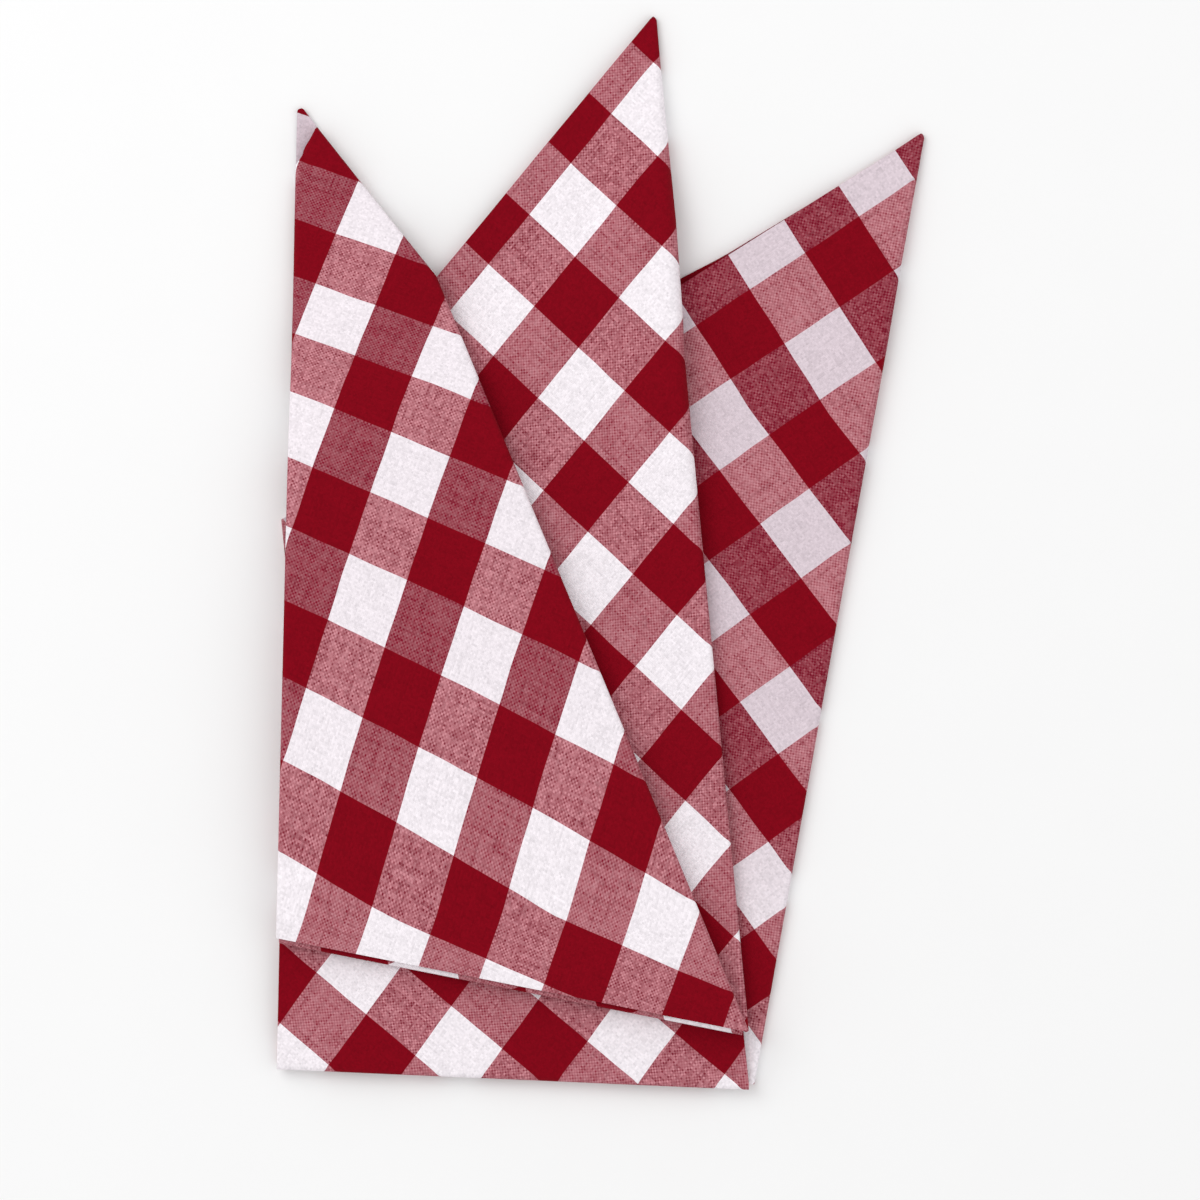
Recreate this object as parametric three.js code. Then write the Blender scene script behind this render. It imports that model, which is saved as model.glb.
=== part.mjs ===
// A cotton handkerchief folded flat into a pocket square with three points, lying on its back.
//
// It is one hemmed square of cloth, so it is one sheet and one solid. The sheet runs back and
// forth in six large layers and one narrow turned strip. From the front, downwards, they are:
//   front point   front layer, its turned strip, back layer
//   middle point  front layer, back layer
//   far point     front layer, back layer
// Each point is a pair of layers joined by an upright fold at one side. A fold across the
// bottom joins one pair to the next.
//
// Millimetres. +X is to the right, +Y towards the three points and +Z up, out of the cloth.
// Outlines are measured from the middle of the line where a breast pocket's mouth crosses the
// folded square: y = 0 there, and the points stand above it.

import * as THREE from "three";

// ---- Driving dimensions -------------------------------------------------------------------

const SHEET = 1.0; // thickness of one layer of cloth
const PITCH = 1.3; // from the middle of one layer to the middle of the next
const STRIP_WIDTH = 9; // strip turned under along the front point's right side
const STRIP_SLOPE = 7; // over which the front layer comes down off that strip

const SETTLE_START = 2.4; // how far past a lower layer's edge the layers above begin to settle
const SETTLE_LENGTH = 16; // and over how much cloth they do

const ROLL_WIDTH = 12; // cloth that rises into a soft rolled fold
const ROLL_FADE = 28; // length over which a roll grows, downwards from its point
const ROLL_END = -50; // height below which every roll has gone
const MIDDLE_ROLL = 2.2; // extra height of the middle point's rolled fold
const FAR_ROLL = 1.0; // extra height of the far point's
const FRONT_ROLL = 0.7; // extra height of the front point's

const COLUMNS = 8; // faces across a large layer
const STRIP_COLUMNS = 2; // faces across the turned strip
const BEND_STEPS = 4; // faces round the half turn of a fold

// ---- Outlines -----------------------------------------------------------------------------
// Each row is one station down the layers, from the tip to the bottom fold. It gives the cloth's
// outer edge on the left and on the right, and how many rows of faces follow to the next station.

const FRONT_POINT = [
  { leftX: -45.2, leftY: 36.3, rightX: -43.9, rightY: 36.3, rows: 2 },
  { leftX: -45.6, leftY: 26.0, rightX: -39.8, rightY: 31.1, rows: 2 },
  { leftX: -45.8, leftY: 16.0, rightX: -32.4, rightY: 21.8, rows: 2 },
  { leftX: -46.0, leftY: 6.0, rightX: -23.8, rightY: 11.1, rows: 2 },
  { leftX: -46.3, leftY: -5.0, rightX: -19.3, rightY: 0.1, rows: 8 },
  { leftX: -48.4, leftY: -91.8, rightX: 24.2, rightY: -104.8, rows: 0 },
];
const FRONT_LAYER_STARTS = 1; // the front layer begins at this station, cut along the weave
const FRONT_TIP_HEIGHT = 7; // below the tip of the back layer, where both folds are at full size

const MIDDLE_POINT = [
  { leftX: 8.1, leftY: 49.8, rightX: 10.2, rightY: 50.2, rows: 2 },
  { leftX: 0.0, leftY: 40.0, rightX: 11.0, rightY: 39.5, rows: 3 },
  { leftX: -13.2, leftY: 24.0, rightX: 12.3, rightY: 26.0, rows: 2 },
  { leftX: -23.9, leftY: 11.1, rightX: 13.5, rightY: 12.8, rows: 2 },
  { leftX: -33.1, leftY: 0.0, rightX: 14.2, rightY: 0.0, rows: 2 },
  { leftX: -46.2, leftY: -15.9, rightX: 15.7, rightY: -16.0, rows: 8 },
  { leftX: -48.0, leftY: -91.8, rightX: 24.2, rightY: -104.8, rows: 1 },
  { leftX: -48.4, leftY: -110.0, rightX: 25.1, rightY: -113.2, rows: 0 },
];
const MIDDLE_FRONT_ENDS = 6; // the front layer of the pair folds up into the front point here

const FAR_POINT = [
  { leftX: 48.9, leftY: 32.1, rightX: 51.2, rightY: 31.8, rows: 2 },
  { leftX: 37.9, leftY: 25.3, rightX: 50.0, rightY: 25.6, rows: 3 },
  { leftX: 13.8, leftY: 10.6, rightX: 47.7, rightY: 13.2, rows: 3 },
  { leftX: -10.0, leftY: -4.0, rightX: 45.5, rightY: 0.1, rows: 3 },
  { leftX: -46.2, leftY: -26.2, rightX: 42.0, rightY: -19.0, rows: 8 },
  { leftX: -48.4, leftY: -110.0, rightX: 25.1, rightY: -113.2, rows: 0 },
];
// The back layer's upper edge comes out past the front layer's, more and more to the left.
const FAR_SHOWS_FROM = 38; // where it starts to show
const FAR_SHOWS_RATE = 0.045; // how far out it is for each millimetre to the left of there
const FAR_SHOWS_MOST = 1.6;

// The two edges that the layers above them settle over: a place on each, and its slope.
const MIDDLE_EDGE = { x: 9.2, y: 51.1, angle: THREE.MathUtils.degToRad(50.4) };
const FAR_EDGE = { x: 50.9, y: 33.3, angle: THREE.MathUtils.degToRad(31.5) };

// ---- Heights of the layers ----------------------------------------------------------------

// 0 below 0, 1 above 1, and a smooth rise between.
const ease = (t) => THREE.MathUtils.smoothstep(t, 0, 1);

// How far the cloth over a lower layer's edge has come down on the far side of it, 0 to 1.
function settled(edge, x, y) {
  const beyond = Math.cos(edge.angle) * (y - edge.y) - Math.sin(edge.angle) * (x - edge.x);
  return ease((beyond - SETTLE_START) / SETTLE_LENGTH);
}

// How much of a roll's full height there is at y, for a point whose tip is at tipY.
const rollShare = (y, tipY) => ease((tipY - y) / ROLL_FADE) * ease((y - ROLL_END) / -ROLL_END);

// The rise of the cloth towards a rolled fold, by its distance from the fold.
const rollRise = (height, y, tipY, distance) =>
  height * rollShare(y, tipY) * ease(1 - distance / ROLL_WIDTH);

// Middle of the lowest layer of each pair. The far point lies flat on the surface, and the
// others step down where they run past the layers beneath them.
const farBase = () => SHEET / 2;
const middleBase = (x, y) => SHEET / 2 + 2 * PITCH * (1 - settled(FAR_EDGE, x, y));
const frontBase = (x, y) => middleBase(x, y) + 2 * PITCH * (1 - settled(MIDDLE_EDGE, x, y));

const tipOf = (stations) => stations[0].leftY;

const HEIGHTS = {
  farBack: farBase,
  farFront: (x, y, fromLeft, fromRight) =>
    farBase() + PITCH + rollRise(FAR_ROLL, y, tipOf(FAR_POINT), fromRight),
  middleBack: middleBase,
  middleFront: (x, y, fromLeft, fromRight) =>
    middleBase(x, y) + PITCH + rollRise(MIDDLE_ROLL, y, tipOf(MIDDLE_POINT), fromRight),
  frontBack: frontBase,
  frontStrip: (x, y) => frontBase(x, y) + PITCH,
  frontFront: (x, y, fromLeft, fromRight) =>
    frontBase(x, y) +
    PITCH +
    PITCH * ease((STRIP_WIDTH + STRIP_SLOPE - fromRight) / STRIP_SLOPE) +
    rollRise(FRONT_ROLL, y, tipOf(FRONT_POINT), fromLeft),
};

// How far a fold reaches past the end of the layers it joins: its radius and half the cloth.
const foldReach = (layersApart, roll, y, tipY) =>
  (layersApart * PITCH + roll * rollShare(y, tipY)) / 2 + SHEET / 2;

// ---- The middle surface of the sheet ------------------------------------------------------

const points = []; // THREE.Vector3
const faces = []; // triples of indices into points

const addPoint = (x, y, z) => points.push(new THREE.Vector3(x, y, z)) - 1;

// Adds a four-sided face, as two triangles, turned so that it faces along the given direction.
function addFace(a, b, c, d, facing) {
  const across = points[c].clone().sub(points[a]);
  const normal = across.cross(points[d].clone().sub(points[b]));
  if (normal.dot(facing) > 0) faces.push([a, b, c], [a, c, d]);
  else faces.push([a, c, b], [a, d, c]);
}

const facingOf = (side) => new THREE.Vector3(0, 0, side);

// Adds one layer as rows of points and the faces between them, and returns the rows. Its side
// is +1 where the right side of the cloth looks up and -1 where it looks down.
function addLayer({ stations, first = 0, last = stations.length - 1, insets, height, side }) {
  const rows = [];
  for (let s = first; s <= last; s++) {
    const here = stations[s];
    const next = stations[Math.min(s + 1, last)];
    const steps = s < last ? here.rows : 1;
    for (let i = 0; i < steps; i++) {
      const at = (key) => THREE.MathUtils.lerp(here[key], next[key], i / steps);
      const left = new THREE.Vector2(at("leftX"), at("leftY"));
      const right = new THREE.Vector2(at("rightX"), at("rightY"));
      left.x += insets.left(left.y, left.x);
      right.x -= insets.right(right.y, right.x);
      rows.push(rowOfPoints(left, right, height));
    }
  }
  addRowFaces(rows, side);
  return rows;
}

// Points from left to right, closer together towards the ends, where the folds are.
function rowOfPoints(left, right, height) {
  const width = left.distanceTo(right);
  return Array.from({ length: COLUMNS + 1 }, (_, i) => {
    const share = (1 - Math.cos((Math.PI * i) / COLUMNS)) / 2;
    const place = left.clone().lerp(right, share);
    return addPoint(
      place.x,
      place.y,
      height(place.x, place.y, share * width, (1 - share) * width),
    );
  });
}

function addRowFaces(rows, side) {
  for (let r = 0; r + 1 < rows.length; r++)
    for (let c = 0; c + 1 < rows[r].length; c++)
      addFace(rows[r][c], rows[r][c + 1], rows[r + 1][c + 1], rows[r + 1][c], facingOf(side));
}

// Joins two edges of equal length by a half turn that bulges outwards. The upper edge's layer
// has the given side up, so the outside of the bend is the cloth's right side when it is +1.
function addBend(upper, lower, outwards, side) {
  let before = null;
  upper.forEach((top, i) => {
    const from = points[top];
    const to = points[lower[i]];
    const centre = from.clone().add(to).multiplyScalar(0.5);
    const up = from.clone().sub(centre);
    const out = outwards.clone().multiplyScalar(up.z);
    const turn = [top];
    for (let k = 1; k < BEND_STEPS; k++) {
      const angle = (Math.PI * k) / BEND_STEPS;
      const p = centre
        .clone()
        .addScaledVector(up, Math.cos(angle))
        .addScaledVector(out, Math.sin(angle));
      turn.push(addPoint(p.x, p.y, p.z));
    }
    turn.push(lower[i]);
    if (before)
      for (let k = 0; k < BEND_STEPS; k++) {
        const facing = points[turn[k]].clone().add(points[turn[k + 1]]).multiplyScalar(0.5);
        facing.sub(centre).multiplyScalar(side);
        addFace(before[k], turn[k], turn[k + 1], before[k + 1], facing);
      }
    before = turn;
  });
}

const leftEnds = (rows) => rows.map((row) => row[0]);
const rightEnds = (rows) => rows.map((row) => row.at(-1));
const LEFT = new THREE.Vector3(-1, 0, 0);
const RIGHT = new THREE.Vector3(1, 0, 0);
const DOWN = new THREE.Vector3(0, -1, 0);
const freeEdge = () => 0;

function addFarPoint() {
  const right = (y) => foldReach(1, FAR_ROLL, y, tipOf(FAR_POINT));
  const turned = (y, x) =>
    -THREE.MathUtils.clamp(FAR_SHOWS_RATE * (FAR_SHOWS_FROM - x), 0, FAR_SHOWS_MOST);
  const back = addLayer({
    stations: FAR_POINT,
    insets: { left: turned, right },
    height: HEIGHTS.farBack,
    side: -1,
  });
  const front = addLayer({
    stations: FAR_POINT,
    insets: { left: freeEdge, right },
    height: HEIGHTS.farFront,
    side: 1,
  });
  addBend(rightEnds(front), rightEnds(back), RIGHT, 1);
  return front;
}

function addMiddlePoint() {
  const right = (y) => foldReach(1, MIDDLE_ROLL, y, tipOf(MIDDLE_POINT));
  const back = addLayer({
    stations: MIDDLE_POINT,
    insets: { left: freeEdge, right },
    height: HEIGHTS.middleBack,
    side: -1,
  });
  const front = addLayer({
    stations: MIDDLE_POINT,
    last: MIDDLE_FRONT_ENDS,
    insets: { left: freeEdge, right },
    height: HEIGHTS.middleFront,
    side: 1,
  });
  addBend(rightEnds(front), rightEnds(back).slice(0, front.length), RIGHT, 1);
  return { front, back };
}

function addFrontPoint() {
  const tip = tipOf(FRONT_POINT);
  const belowTip = (y) => ease((tip - y) / FRONT_TIP_HEIGHT);
  const left = (y) => belowTip(y) * foldReach(1, FRONT_ROLL, y, tip);
  const right = (y) => belowTip(y) * foldReach(1, 0, y, tip);
  const back = addLayer({
    stations: FRONT_POINT,
    insets: { left, right },
    height: HEIGHTS.frontBack,
    side: -1,
  });
  const front = addLayer({
    stations: FRONT_POINT,
    first: FRONT_LAYER_STARTS,
    insets: { left, right },
    height: HEIGHTS.frontFront,
    side: 1,
  });
  addBend(leftEnds(front), leftEnds(back).slice(back.length - front.length), LEFT, 1);
  addBend(rightEnds(front), rightEnds(addStrip(front)), RIGHT, 1);
  return back;
}

// The narrow strip turned under the front layer, from the fold at its right side inwards.
function addStrip(front) {
  const rows = front.map((row) => {
    const left = points[row[0]];
    const right = points[row.at(-1)];
    const width = Math.hypot(right.x - left.x, right.y - left.y);
    const share = Math.min(STRIP_WIDTH / width, 0.75);
    return Array.from({ length: STRIP_COLUMNS + 1 }, (_, i) => {
      const place = right.clone().lerp(left, share * (1 - i / STRIP_COLUMNS));
      return addPoint(place.x, place.y, HEIGHTS.frontStrip(place.x, place.y));
    });
  });
  addRowFaces(rows, -1);
  return rows;
}

// ---- The sheet, given its thickness -------------------------------------------------------

// Each point's normal is the mean of the faces round it, the larger faces counting for more.
function pointNormals() {
  const normals = points.map(() => new THREE.Vector3());
  for (const [a, b, c] of faces) {
    const edge = points[b].clone().sub(points[a]);
    const normal = edge.cross(points[c].clone().sub(points[a]));
    for (const i of [a, b, c]) normals[i].add(normal);
  }
  return normals.map((n) => n.normalize());
}

// The edges that only one face has, as that face runs along them.
function freeEdges() {
  const edges = new Map();
  for (const face of faces)
    face.forEach((from, i) => edges.set(from + " " + face[(i + 1) % 3], [from, face[(i + 1) % 3]]));
  return [...edges.values()].filter(([from, to]) => !edges.has(to + " " + from));
}

function thickSheet() {
  const normals = pointNormals();
  const positions = [];
  for (const side of [SHEET / 2, -SHEET / 2])
    points.forEach((p, i) => positions.push(...p.clone().addScaledVector(normals[i], side)));
  const under = points.length;
  const index = [];
  for (const [a, b, c] of faces) index.push(a, b, c, under + a, under + c, under + b);
  for (const [a, b] of freeEdges()) index.push(b, a, under + a, b, under + a, under + b);
  const geometry = new THREE.BufferGeometry();
  geometry.setAttribute("position", new THREE.Float32BufferAttribute(positions, 3));
  geometry.setIndex(index);
  return geometry;
}

// ---- The handkerchief ---------------------------------------------------------------------

function makeHandkerchief() {
  const far = addFarPoint();
  const middle = addMiddlePoint();
  const front = addFrontPoint();
  addBend(middle.back.at(-1), far.at(-1), DOWN, -1);
  addBend(front.at(-1), middle.front.at(-1), DOWN, -1);

  const geometry = thickSheet();
  geometry.computeBoundingBox();
  const { min, max } = geometry.boundingBox;
  geometry.translate(-(min.x + max.x) / 2, -(min.y + max.y) / 2, -min.z);
  geometry.computeVertexNormals();
  const cotton = new THREE.MeshStandardMaterial({ color: 0xb0485a, roughness: 0.9, metalness: 0 });
  const mesh = new THREE.Mesh(geometry, cotton);
  mesh.name = "handkerchief";
  return mesh;
}

const group = new THREE.Group();
group.name = "folded pocket handkerchief";
group.add(makeHandkerchief());

export default group;
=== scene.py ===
"""A gingham handkerchief folded flat into a pocket square with three points."""

import math

import bpy
from bpy.props import FloatProperty, FloatVectorProperty, PointerProperty
from bpy.types import Operator, Panel, PropertyGroup
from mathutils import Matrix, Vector


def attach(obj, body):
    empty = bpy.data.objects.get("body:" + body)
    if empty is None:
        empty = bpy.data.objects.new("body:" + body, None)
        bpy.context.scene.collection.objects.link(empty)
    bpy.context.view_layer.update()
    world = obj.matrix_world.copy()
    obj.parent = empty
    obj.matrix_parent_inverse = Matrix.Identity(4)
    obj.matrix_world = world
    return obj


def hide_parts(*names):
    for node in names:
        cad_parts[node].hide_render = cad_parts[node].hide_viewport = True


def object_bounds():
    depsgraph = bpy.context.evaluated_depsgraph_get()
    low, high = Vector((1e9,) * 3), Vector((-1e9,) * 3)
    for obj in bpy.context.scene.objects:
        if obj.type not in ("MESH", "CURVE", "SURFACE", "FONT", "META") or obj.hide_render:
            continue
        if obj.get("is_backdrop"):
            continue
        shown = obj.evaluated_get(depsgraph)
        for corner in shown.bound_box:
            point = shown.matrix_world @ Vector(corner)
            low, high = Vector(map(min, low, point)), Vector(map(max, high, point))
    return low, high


bl_info = {
    "name": "Folded Pocket Handkerchief",
    "version": (1, 0, 0),
    "blender": (4, 5, 0),
    "location": "View3D > Sidebar > Handkerchief",
    "description": "Folds a gingham handkerchief into a pocket square and lays it on a studio floor",
    "category": "Object",
}

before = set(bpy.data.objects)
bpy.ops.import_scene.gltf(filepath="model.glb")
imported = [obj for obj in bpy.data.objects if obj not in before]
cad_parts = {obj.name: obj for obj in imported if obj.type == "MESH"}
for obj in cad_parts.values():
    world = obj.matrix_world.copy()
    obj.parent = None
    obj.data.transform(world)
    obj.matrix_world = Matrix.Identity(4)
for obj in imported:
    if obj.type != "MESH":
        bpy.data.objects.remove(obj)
FRAME_LOW, FRAME_HIGH = (Vector(corner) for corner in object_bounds())

MM = 0.001

# ---- Outlines of the layers ----------------------------------------------------------------
# In millimetres, from the middle of the line where a pocket's mouth crosses the folded square.
# The points stand above y = 0. A row is one station down a pair of layers: the cloth's outer
# edge on the left and on the right, and the number of rows of faces to the next station. A
# point's first station is where its two edges would meet, and its tip is rounded off below that.

STATION = ("left_x", "left_y", "right_x", "right_y", "rows")


def stations(*rows):
    return [dict(zip(STATION, row)) for row in rows]


FRONT_POINT = stations(
    (-45.32, 38.33, -45.32, 38.33, 1),
    (-45.38, 36.55, -43.5, 35.9, 4),
    (-45.50, 31.5, -42.7, 34.85, 3),
    (-45.56, 28.1, -42.4, 34.45, 1),
    (-45.6, 27.8, -42.3, 34.3, 8),
    (-45.8, 18.0, -33.1, 22.7, 8),
    (-46.0, 6.5, -23.8, 11.1, 3),
    (-46.1, 2.5, -22.1, 7.0, 3),
    (-46.2, -2.5, -20.0, 2.0, 3),
    (-46.4, -8.0, -17.2, -4.8, 30),
    (-48.4, -90.4, 24.2, -104.8, 0),
)
FRONT_LAYER_STARTS = 4
FRONT_CORNER_ENDS = 1

MIDDLE_POINT = stations(
    (9.98, 52.04, 9.98, 52.04, 2),
    (6.2, 47.45, 10.35, 47.3, 3),
    (3.6, 44.3, 10.65, 43.8, 8),
    (-6.8, 31.8, 11.8, 32.0, 8),
    (-15.9, 20.7, 13.0, 19.8, 6),
    (-23.9, 11.1, 13.6, 11.0, 5),
    (-29.0, 4.9, 14.05, 5.0, 4),
    (-33.1, 0.0, 14.3, -1.0, 6),
    (-46.2, -15.9, 15.7, -16.0, 24),
    (-48.0, -90.4, 24.2, -104.8, 3),
    (-48.4, -110.0, 25.1, -113.2, 0),
)
MIDDLE_FRONT_ENDS = 9

FAR_POINT = stations(
    (51.56, 33.89, 51.56, 33.89, 2),
    (46.8, 30.7, 50.8, 29.9, 3),
    (43.6, 28.65, 50.4, 27.6, 8),
    (30.0, 20.15, 49.1, 20.6, 8),
    (13.8, 9.95, 47.6, 12.3, 8),
    (-10.0, -4.4, 45.5, 0.1, 8),
    (-46.2, -26.2, 42.0, -19.0, 26),
    (-48.4, -110.0, 25.1, -113.2, 0),
)
FAR_TIP_X = 51.2  # the outline's places that the solid's right and top edges come from
MIDDLE_TIP_Y = 50.2

TIP_ROUNDING = {"front": 0.60, "middle": 0.58, "far": 0.62}
TIP_TURNS = (22.0, 45.0)  # degrees round the tip where its first rows end

# The far point's back layer comes out past its front layer, more and more to the left, and goes
# back in down the left side.
FAR_SHOWS = {
    "from_x": 36.0,
    "rate": 0.035,
    "wider_from_x": 20.8,
    "wider_rate": 0.18,
    "most": 2.2,
    "from_y": -18.0,
    "length": 25.0,
}

# The two edges that the layers above them settle over, and the front layer's own top edge: a
# place on each, and its slope.
MIDDLE_EDGE = {"x": 9.2, "y": 51.1, "angle": math.radians(50.4)}
FAR_EDGE = {"x": 50.9, "y": 33.3, "angle": math.radians(31.5)}
FRONT_EDGE = {"x": -42.3, "y": 34.3, "angle": math.radians(63.1)}

# ---- How the layers lie, in millimetres -----------------------------------------------------

SETTLE_START = 2.4  # past a lower layer's edge
SETTLE_LENGTH = 16.0
ROLL_WIDTH = 12.0  # cloth that rises into a soft rolled fold
ROLL_FADE = 28.0  # length over which a roll grows, downwards from its tip
ROLL_END = -50.0
TIP_PINCH = 0.5  # share of the layers' spacing that is left at a pressed tip
TIP_PINCH_LENGTH = 12.0
STRIP_SLOPE = 7.0  # over which the front layer comes down off its turned strip
STRIP_MOST = 0.4  # share of a row's width that the strip may take
STRIP_SLOPE_MOST = 0.5  # and the slope
FOLD_MOST = 0.45  # share of the room beside a fold that its bulge may take
FOLD_LEAST = 0.04
SWEEP_LEAST = 0.3  # keeps a bulge short where a row meets its fold at a slant

# Gentle unevenness that all the layers share: each row is one long wave across the cloth.
RIPPLE = ("length", "direction", "start", "height")
RIPPLES = [
    dict(zip(RIPPLE, row))
    for row in ((37.0, 20.0, 0.6, 0.10), (23.0, 105.0, 2.1, 0.07), (15.0, 62.0, 4.0, 0.035))
]
# The share of it that each layer adds to the one beneath.
RIPPLE_ADDED = {"middle_back": 0.5, "front_back": 0.4, "point_front": 0.3}

# ---- How the checks lie on each point --------------------------------------------------------
# The cloth's own measure is in checks: a across and b along. A row gives the place of one
# crossing of the checks, the step and direction of each measure there, and what they count
# from. The far and front points show the cloth turned round, so there they count down.

WEAVE = ("x", "y", "a_step", "a_angle", "b_step", "b_angle", "a_first", "b_first", "sense")
MIDDLE_WEAVE = dict(zip(WEAVE, (9.56, 44.16, 9.47, -43.0, 9.98, -129.3, 0, 0, 1)))
FAR_WEAVE = dict(zip(WEAVE, (49.53, 25.80, 10.03, -57.5, 10.04, -146.3, 22, 21, -1)))
FRONT_WEAVE = dict(zip(WEAVE, (-44.83, 28.80, 9.57, -20.1, 8.44, -112.2, 8, 25, -1)))

# Down each outer point the checks drift, so that they run on over the bottom fold.
FAR_DRIFT = {"start": -10.0, "length": 95.0}
FRONT_DRIFT = {"start": -5.0, "length": 82.0}

# The far point's back layer has slid along its front layer, away from the fold between them, and
# the front point's back layer is drawn up a little at its tip, where the front layer ends.
SLID = {"length": 24.0, "checks": -1.0}
DRAWN_UP = {"length": 14.0, "checks": 0.82}
CORNER_MEASURE = (1.5, 1.5)  # in a red check, for the turned-down corner at the front point's tip

# Degrees round a bend where the upper layer's checks begin to ease into the lower layer's.
EASE_FROM = 60.0

# Painted light and shade on each layer, kept as a value at each point. It is above 0 where the yarns
# counted by a are drawn as catching more light and covering the others, and below 0 where those
# counted by b are. The whites get painted shade, most where it is below 0. It fades out towards the
# bottom folds, where the layers run into one another.
PAINTED_LIGHT_FADE = {
    "front": {"bottom": -90.0, "length": 50.0},
    "far": {"bottom": -110.0, "length": 60.0},
}
# Painted shade at the front point's tip, on its back layer under the front layer: there the value
# goes below 0, for the darkest white.
FRONT_TIP_PAINTED_SHADE = {"from_y": 24.0, "length": 4.0, "change": 2.2}  # on the front point's back layer

LARGE_COLUMNS = 44
STRIP_COLUMNS = 6
BEND_STEPS = 10

# ---- How the cloth looks --------------------------------------------------------------------
# Lengths in metres. Shares run from 0 to 1.

WANDER = {"length": 0.009, "reach": 0.0003}  # of handled yarns, to either side
UNEVEN_LENGTH = 0.006  # over which a yarn's thickness changes
UNEVEN_SPREAD = 7.31  # sets each yarn's unevenness apart from its neighbour's
UNEVEN_STARTS = (3.0, 41.0)  # and those of the two directions
PULLED = 0.14  # unevenness past which a yarn shows as pulled

# How far the yarn on top strays from half and half: by its turn in the weave, by the yarns'
# unevenness and by chance.
TOP = {"turn": 0.28, "uneven": 0.55, "chance": 0.42}

# Painted light on the pinks: on the outer points' layers the yarns of one direction are drawn as
# lit, taking more of each crossing. This is how much of the white yarns they cover there.
PAINTED_LIGHT_COVER = {"white": -0.07, "red_a": 0.43, "red_b": 0.55}
PAINTED_LIGHT_TAKES = 0.5  # share of that cover taken off the white, before the rest is thinned
PAINTED_LIGHT_THINS = 0.98
WHITE_ADDED = 0.037
PAINTED_SHADE_ON_WHITE = {"a": 0.12, "b": 0.667}  # share of the painted shade on the whites, on the front point's layers (a) and on the far point's layers and the front tip (b)

SHADE = {"grain": 0.16, "pulled": -0.08, "chance": 0.16}
RELIEF = {"crown": 0.6, "grain": 1.2, "depth": 0.00006, "strength": 0.5}

# ---- The studio -----------------------------------------------------------------------------

VIEW_MIDDLE = (1.31, -38.6)  # in millimetres, on the outlines
FLOOR_SIZE = 4.0
MOTTLE = {"scale": 60.0, "faint": 0.985}  # of the floor's paint
AIR_STRENGTH = 0.80
LAMP = ("name", "x", "y", "z", "size", "power")
LAMPS = [
    dict(zip(LAMP, row))
    for row in (("Key", -0.55, 0.45, 0.75, 0.7, 3.6), ("Fill", 0.7, -0.2, 0.8, 0.9, 1.0))
]


# ---- Settings -------------------------------------------------------------------------------


def linear(hex_colour):
    """An sRGB hex colour as linear red, green and blue."""
    channels = [int(hex_colour[i : i + 2], 16) / 255 for i in (0, 2, 4)]
    return tuple(c / 12.92 if c <= 0.04045 else ((c + 0.055) / 1.055) ** 2.4 for c in channels)


def length_property(name, description, default):
    return FloatProperty(
        name=name, description=description, default=default, min=0.0, unit="LENGTH", precision=5
    )


def colour_property(name, description, hex_colour):
    return FloatVectorProperty(
        name=name,
        description=description,
        default=linear(hex_colour),
        subtype="COLOR",
        size=3,
        min=0.0,
        max=1.0,
    )


class FoldedClothSizes(PropertyGroup):
    thickness: length_property("Cloth thickness", "Thickness of one layer, hem and all", 0.0005)
    spacing: length_property("Layer spacing", "From one layer's middle to the next", 0.0012)
    strip: length_property("Turned strip", "Width turned under at the front point", 0.009)
    middle_roll: length_property("Middle roll", "Extra height of the middle fold", 0.0022)
    far_roll: length_property("Far roll", "Extra height of the far point's fold", 0.0010)
    front_roll: length_property("Front roll", "Extra height of the front point's fold", 0.0007)
    square: FloatVectorProperty(
        name="Cut square",
        description="Width and length of the cloth before it was folded",
        default=(0.220, 0.220),
        size=2,
        unit="LENGTH",
    )


class GinghamLook(PropertyGroup):
    check: length_property("Check", "Width of one woven check", 0.010)
    thread: length_property("Thread spacing", "From one yarn's middle to the next", 0.00030)
    red: colour_property("Red", "Where red yarns cross red yarns", "7F0617")
    white: colour_property("White", "Where white yarns cross white yarns", "F2EBF0")
    # Painted shade: the white drawn fully in shade. The whites of the far point and of the front
    # point's tip lie towards it.
    painted_shade_white: colour_property("Turned white", "White where its yarns lie darkest", "C8B4BE")
    red_crossing: colour_property("Red on white", "A red yarn over white yarns", "7E1129")
    white_crossing: colour_property("White on red", "A white yarn over red yarns", "CC8B93")


class StudioSettings(PropertyGroup):
    floor: colour_property("Floor", "Colour of the studio floor", "F4F4F4")
    view_width: length_property("View width", "Width of the view where the cloth lies", 0.1846)
    cloth_height: length_property("Cloth height", "Height that the view width is for", 0.0030)
    lens: FloatProperty(name="Lens", description="Focal length in mm", default=200.0, min=1.0)


# ---- Where the cloth lies -------------------------------------------------------------------


def ease(t):
    """0 below 0, 1 above 1, and a smooth rise between."""
    t = min(max(t, 0.0), 1.0)
    return t * t * (3.0 - 2.0 * t)


def beyond(edge, x, y):
    """Distance past an edge, above it and to the left."""
    return math.cos(edge["angle"]) * (y - edge["y"]) - math.sin(edge["angle"]) * (x - edge["x"])


def settled(edge, x, y):
    """How far cloth that lies over an edge has come down on the far side of it, 0 to 1."""
    return ease((beyond(edge, x, y) - SETTLE_START) / SETTLE_LENGTH)


def ripple(layer, x, y):
    """Height that the shared unevenness adds to a layer, never below zero."""
    height = 0.0
    for wave in RIPPLES:
        angle = math.radians(wave["direction"])
        along = x * math.cos(angle) + y * math.sin(angle)
        turn = 2 * math.pi * along / wave["length"] + wave["start"]
        height += wave["height"] * (1 + math.sin(turn))
    return RIPPLE_ADDED[layer] * height


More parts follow.
